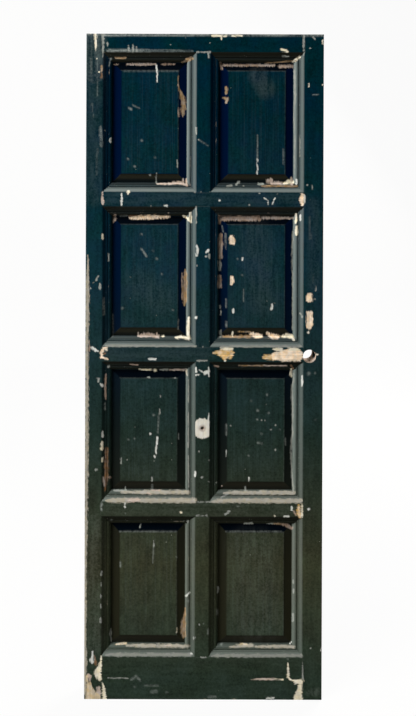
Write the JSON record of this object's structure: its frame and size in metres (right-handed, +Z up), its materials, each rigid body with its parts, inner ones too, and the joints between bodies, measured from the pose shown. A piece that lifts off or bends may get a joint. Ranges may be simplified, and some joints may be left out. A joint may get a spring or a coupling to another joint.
{
  "type": "panelled door leaf",
  "caption": "Timber door leaf with raised panels in moulded frames, dark peeling paint, a round lock hole, a centre knob hole and seats for butt hinges.",
  "frame": {"origin": "middle of the leaf's bottom edge, at half its thickness", "axes": "+Z up the leaf; the face in the picture looks toward -Y; the lock edge is at +X and the hanging edge at -X"},
  "size_m": [0.725, 0.04, 2.03],
  "materials": {
    "painted_pine": "aged dark green-blue gloss paint, chipped to bare wood at the edges",
    "bare_pine": "bare, weathered"
  },
  "bodies": {
    "root": {"hanging_stile": "painted_pine", "lock_stile": "painted_pine", "top_rail": "painted_pine", "frieze_rail": "painted_pine", "lock_rail": "painted_pine", "lower_rail": "painted_pine", "bottom_rail": "painted_pine", "muntin_top": "painted_pine", "muntin_upper": "painted_pine", "muntin_lower": "painted_pine", "muntin_bottom": "painted_pine", "panel_top_left": "painted_pine", "panel_top_right": "painted_pine", "panel_upper_left": "painted_pine", "panel_upper_right": "painted_pine", "panel_lower_left": "painted_pine", "panel_lower_right": "painted_pine", "panel_bottom_left": "painted_pine", "panel_bottom_right": "painted_pine", "tenon_wedges": "bare_pine"}
  },
  "joints": []
}
